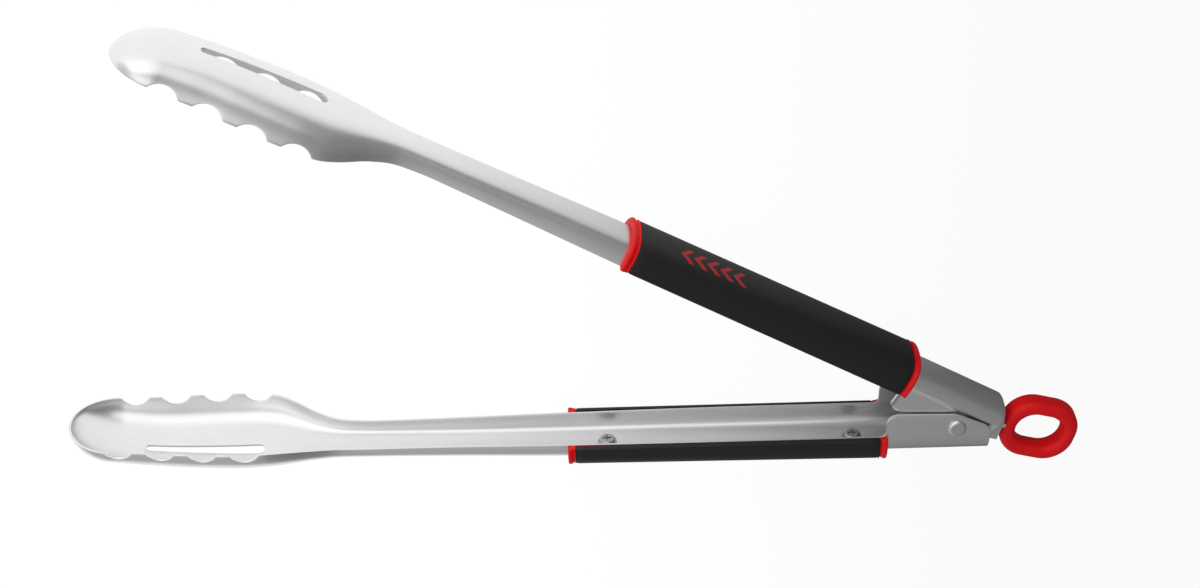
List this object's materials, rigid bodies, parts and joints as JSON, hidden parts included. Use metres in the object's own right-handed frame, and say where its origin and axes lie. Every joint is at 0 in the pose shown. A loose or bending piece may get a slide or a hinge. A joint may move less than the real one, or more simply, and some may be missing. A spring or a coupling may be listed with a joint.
{
  "type": "spring loaded kitchen tongs",
  "caption": "Long spring loaded locking tongs with toothed, slotted spoon heads, soft grips and a pull ring, lying on their side and sprung open.",
  "frame": {"origin": "below the middle of the open tongs, on the surface that the heads lie on", "axes": "+X from the heads to the pull ring along the lower arm, +Y from the lower arm to the upper arm, +Z along the hinge axis"},
  "size_m": [0.4572, 0.2263, 0.0476],
  "materials": {
    "arm_steel": "satin brushed along the arms",
    "fitting_steel": "satin",
    "spring_wire": "drawn wire",
    "screw_steel": "zinc plated",
    "washer_nylon": "natural nylon",
    "red_plastic": "satin moulded",
    "black_rubber": "soft touch, matt"
  },
  "bodies": {
    "lower": {"lower_arm": "arm_steel", "hinge_rivet": "fitting_steel", "near_ear_washer": "washer_nylon", "far_ear_washer": "washer_nylon", "lower_grip_core": "red_plastic", "lower_grip_cover": "black_rubber", "lower_front_screw": "screw_steel", "lower_rear_screw": "screw_steel", "lower_front_washer": "screw_steel", "lower_rear_washer": "screw_steel"},
    "upper": {"upper_arm": "arm_steel", "upper_grip_core": "red_plastic", "upper_grip_cover": "black_rubber", "upper_front_screw": "screw_steel", "upper_rear_screw": "screw_steel", "upper_front_washer": "screw_steel", "upper_rear_washer": "screw_steel"},
    "bush": {"spacer_bush": "fitting_steel", "torsion_spring": "spring_wire"},
    "puller": {"lock_strip": "fitting_steel", "pull_ring": "red_plastic"}
  },
  "joints": [
    {"name": "arm_hinge", "type": "hinge", "parent": "lower", "child": "upper", "pos_m": [0.1715, -0.0848, 0.0238], "axis": [0, 0, 1], "range_deg": [0, 27.2], "stiffness_Nm_per_rad": 1.1, "springref_deg": -34.38, "deforming": ["torsion_spring"]},
    {"name": "bush_turn", "type": "hinge", "parent": "lower", "child": "bush", "pos_m": [0.1715, -0.0848, 0.0238], "axis": [0, 0, 1], "range_deg": [0, 13.8]},
    {"name": "ring_pull", "type": "slide", "parent": "bush", "child": "puller", "axis": [0.9648, -0.263, 0], "range_m": [0, 0.01]}
  ],
  "couplings": [
    {"joint": "bush_turn", "follows": "arm_hinge", "ratio": 0.5}
  ]
}
